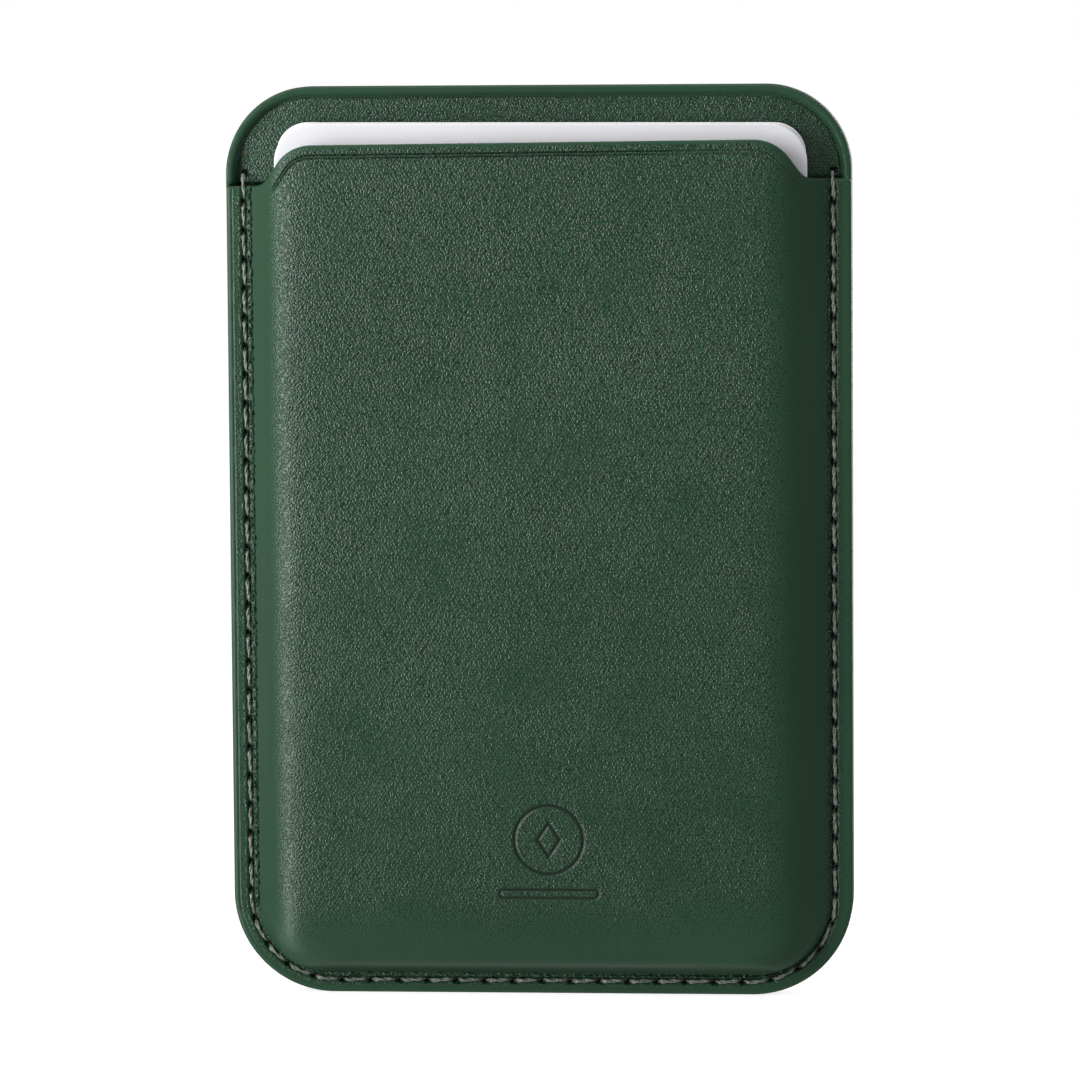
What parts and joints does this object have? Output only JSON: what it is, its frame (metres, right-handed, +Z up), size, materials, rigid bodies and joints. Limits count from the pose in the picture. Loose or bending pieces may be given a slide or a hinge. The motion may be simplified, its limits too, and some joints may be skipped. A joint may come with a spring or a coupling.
{
  "type": "magnetic card holder",
  "caption": "Slim moulded card holder with a stitched front pocket, two white cards, a ring of magnets and a thumb slot; it clings to the back of a phone.",
  "frame": {"origin": "centre of the magnet ring on the flat back face, the face that rests on the phone", "axes": "+Z up towards the pocket's mouth, +X to the right seen from the front, the front faces -Y"},
  "size_m": [0.0636, 0.0063, 0.0927],
  "materials": {
    "green_leather": "pressed fine grain, low sheen, deep green",
    "back_skin": "fine matt skin, deep green",
    "leather_board": "dyed fibre board, painted edge",
    "tray_plastic": "matt moulded black",
    "magnet": "nickel plate",
    "shield_steel": "thin cold rolled sheet",
    "lining_fabric": "short-pile microfibre, dark green",
    "thread": "two-ply bonded thread, grey green",
    "card_plastic": "white satin card stock"
  },
  "bodies": {
    "holder": {"back_cover": "back_skin", "border_filler": "leather_board", "magnet_tray": "tray_plastic", "ring_magnet_01": "magnet", "ring_magnet_02": "magnet", "ring_magnet_03": "magnet", "ring_magnet_04": "magnet", "ring_magnet_05": "magnet", "ring_magnet_06": "magnet", "ring_magnet_07": "magnet", "ring_magnet_08": "magnet", "ring_magnet_09": "magnet", "ring_magnet_10": "magnet", "ring_magnet_11": "magnet", "ring_magnet_12": "magnet", "ring_magnet_13": "magnet", "ring_magnet_14": "magnet", "ring_magnet_15": "magnet", "ring_magnet_16": "magnet", "alignment_magnet": "magnet", "shield_plate": "shield_steel", "inner_panel": "green_leather", "front_panel": "green_leather", "pocket_lining": "lining_fabric", "top_thread": "thread", "bobbin_thread": "thread"},
    "card_front": {"card_front": "card_plastic"},
    "card_rear": {"card_rear": "card_plastic"}
  },
  "joints": [
    {"name": "card_front_slide", "type": "slide", "parent": "holder", "child": "card_front", "axis": [0, 0, 1], "range_m": [0, 0.0915]},
    {"name": "card_rear_slide", "type": "slide", "parent": "holder", "child": "card_rear", "axis": [0, 0, 1], "range_m": [0, 0.0915]}
  ]
}
